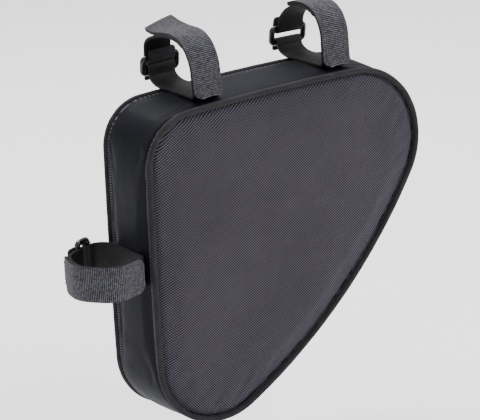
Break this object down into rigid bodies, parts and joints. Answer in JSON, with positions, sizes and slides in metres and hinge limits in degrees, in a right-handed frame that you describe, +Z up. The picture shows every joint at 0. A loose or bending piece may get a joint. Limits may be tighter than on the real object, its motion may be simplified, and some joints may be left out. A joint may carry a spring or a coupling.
{
  "type": "bicycle frame bag",
  "caption": "Soft triangular bag with rounded corners and a piped gusset that hangs in the corner of a bicycle frame by hook-and-loop straps.",
  "frame": {"origin": "on the axis of the bicycle's top tube, midway between the two top straps that hang the bag from it", "axes": "+X along the top tube, away from the seat tube; +Y through the bag's depth, from the front panel to the back panel with the zip; +Z up"},
  "size_m": [0.2851, 0.0795, 0.2871],
  "materials": {
    "woven_polyester": "fine herringbone weave, dark grey with a violet tint, matt",
    "coated_gusset": "smooth coated cloth, near black, soft sheen",
    "ribbed_piping": "corded piping with fine cross ribs, matt",
    "hook_and_loop": "brushed loop pile outside, dark grey mottled, black inside",
    "base_webbing": "black woven webbing, matt",
    "black_plastic": "moulded, glossy black",
    "zip_coil": "closed nylon coil zip, black"
  },
  "bodies": {
    "root": {"back_panel": "woven_polyester", "back_piping": "ribbed_piping", "fore_top_base": "base_webbing", "fore_top_ring": "black_plastic", "fore_top_strap": "hook_and_loop", "fore_top_tab": "base_webbing", "front_panel": "woven_polyester", "front_piping": "ribbed_piping", "gusset": "coated_gusset", "rear_top_base": "base_webbing", "rear_top_ring": "black_plastic", "rear_top_strap": "hook_and_loop", "rear_top_tab": "base_webbing", "seat_base": "base_webbing", "seat_ring": "black_plastic", "seat_strap": "hook_and_loop", "seat_tab": "base_webbing", "zip_coil": "zip_coil", "zip_pull": "black_plastic", "zip_slider": "black_plastic"}
  },
  "joints": []
}
